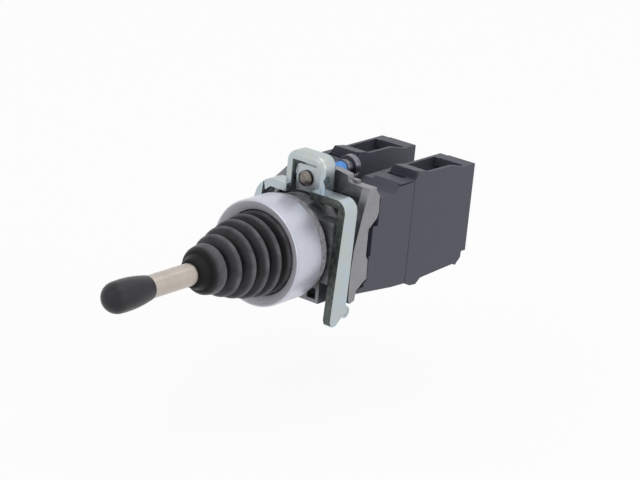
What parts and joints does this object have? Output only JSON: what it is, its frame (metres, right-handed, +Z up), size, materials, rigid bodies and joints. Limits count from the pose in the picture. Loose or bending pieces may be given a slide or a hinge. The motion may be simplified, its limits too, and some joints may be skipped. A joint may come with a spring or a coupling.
{
  "type": "joystick",
  "caption": "Panel joystick for a 22 mm hole: sprung two-axis lever in a rubber bellows, chromed bezel, fixing collar with clamp yoke and screw, and contact blocks behind.",
  "frame": {"origin": "the lever's pivot, on the lever's axis in the plane where the panel's front face lies", "axes": "+Y back through the panel along the lever's axis, -Y to the knob, +Z up, +X right seen from the front"},
  "size_m": [0.033, 0.1316, 0.0435],
  "materials": {
    "chromed_bezel": "polished chrome plate",
    "gasket_rubber": "moulded grey rubber",
    "bellows_rubber": "moulded satin rubber",
    "neck_plastic": "moulded, fine grain",
    "knob_plastic": "polished phenolic",
    "lever_steel": "turned, satin",
    "zinc_steel": "zinc plated",
    "spring_steel": "drawn wire",
    "cast_zinc": "die cast, tumbled",
    "pusher_plastic": "moulded, natural",
    "contact_brass": "stamped",
    "block_plastic": "moulded, fine grain"
  },
  "bodies": {
    "housing": {"bezel_ring": "chromed_bezel", "panel_gasket": "gasket_rubber", "neck_housing": "neck_plastic", "bellows": "bellows_rubber", "guide_plate": "neck_plastic", "collar_body": "cast_zinc", "yoke_pivot_pins": "zinc_steel", "up_return_spring": "spring_steel", "down_return_spring": "spring_steel", "left_return_spring": "spring_steel", "right_return_spring": "spring_steel", "up_contact_spring": "spring_steel", "down_contact_spring": "spring_steel", "left_contact_spring": "spring_steel", "right_contact_spring": "spring_steel", "left_front_case": "block_plastic", "left_rear_case": "block_plastic", "left_contact_strips": "contact_brass", "left_wire_clamps": "zinc_steel", "left_terminal_screws": "zinc_steel", "right_front_case": "block_plastic", "right_rear_case": "block_plastic", "right_contact_strips": "contact_brass", "right_wire_clamps": "zinc_steel", "right_terminal_screws": "zinc_steel"},
    "gimbal": {"gimbal_ring": "lever_steel", "trunnion_pins": "lever_steel"},
    "lever": {"lever_rod": "lever_steel", "knob": "knob_plastic", "cross_pin": "lever_steel", "swash_plate": "lever_steel", "swash_nut": "zinc_steel"},
    "yoke": {"clamp_yoke": "zinc_steel"},
    "screw": {"clamp_screw": "zinc_steel"},
    "up_slider": {"up_pusher": "pusher_plastic", "up_contact_plunger": "pusher_plastic", "up_contact_bridge": "contact_brass"},
    "down_slider": {"down_pusher": "pusher_plastic", "down_contact_plunger": "pusher_plastic", "down_contact_bridge": "contact_brass"},
    "left_slider": {"left_pusher": "pusher_plastic", "left_contact_plunger": "pusher_plastic", "left_contact_bridge": "contact_brass"},
    "right_slider": {"right_pusher": "pusher_plastic", "right_contact_plunger": "pusher_plastic", "right_contact_bridge": "contact_brass"}
  },
  "joints": [
    {"name": "gimbal_tilt", "type": "hinge", "parent": "housing", "child": "gimbal", "pos_m": [0, 0, 0], "axis": [0, 0, 1], "range_deg": [-12, 12], "stiffness_Nm_per_rad": 0.8},
    {"name": "lever_tilt", "type": "hinge", "parent": "gimbal", "child": "lever", "pos_m": [0, 0, 0], "axis": [1, 0, 0], "range_deg": [-12, 12], "stiffness_Nm_per_rad": 0.8, "deforming": ["bellows"]},
    {"name": "up_slide", "type": "slide", "parent": "housing", "child": "up_slider", "axis": [0, 1, 0], "range_m": [-0.00145, 0.00145], "deforming": ["up_return_spring", "up_contact_spring"]},
    {"name": "down_slide", "type": "slide", "parent": "housing", "child": "down_slider", "axis": [0, 1, 0], "range_m": [-0.00145, 0.00145], "deforming": ["down_return_spring", "down_contact_spring"]},
    {"name": "left_slide", "type": "slide", "parent": "housing", "child": "left_slider", "axis": [0, 1, 0], "range_m": [-0.00145, 0.00145], "deforming": ["left_return_spring", "left_contact_spring"]},
    {"name": "right_slide", "type": "slide", "parent": "housing", "child": "right_slider", "axis": [0, 1, 0], "range_m": [-0.00145, 0.00145], "deforming": ["right_return_spring", "right_contact_spring"]},
    {"name": "yoke_hinge", "type": "hinge", "parent": "housing", "child": "yoke", "pos_m": [0, 0.0082, -0.0162], "axis": [1, 0, 0], "range_deg": [0, 5.7]},
    {"name": "screw_slide", "type": "slide", "parent": "housing", "child": "screw", "axis": [0, -1, 0], "range_m": [0, 0.0034]}
  ],
  "couplings": [
    {"joint": "up_slide", "follows": "lever_tilt", "m_per_rad": -0.0069},
    {"joint": "down_slide", "follows": "lever_tilt", "m_per_rad": 0.0069},
    {"joint": "right_slide", "follows": "gimbal_tilt", "m_per_rad": 0.0069},
    {"joint": "left_slide", "follows": "gimbal_tilt", "m_per_rad": -0.0069},
    {"joint": "screw_slide", "follows": "yoke_hinge", "m_per_rad": 0.0334}
  ]
}
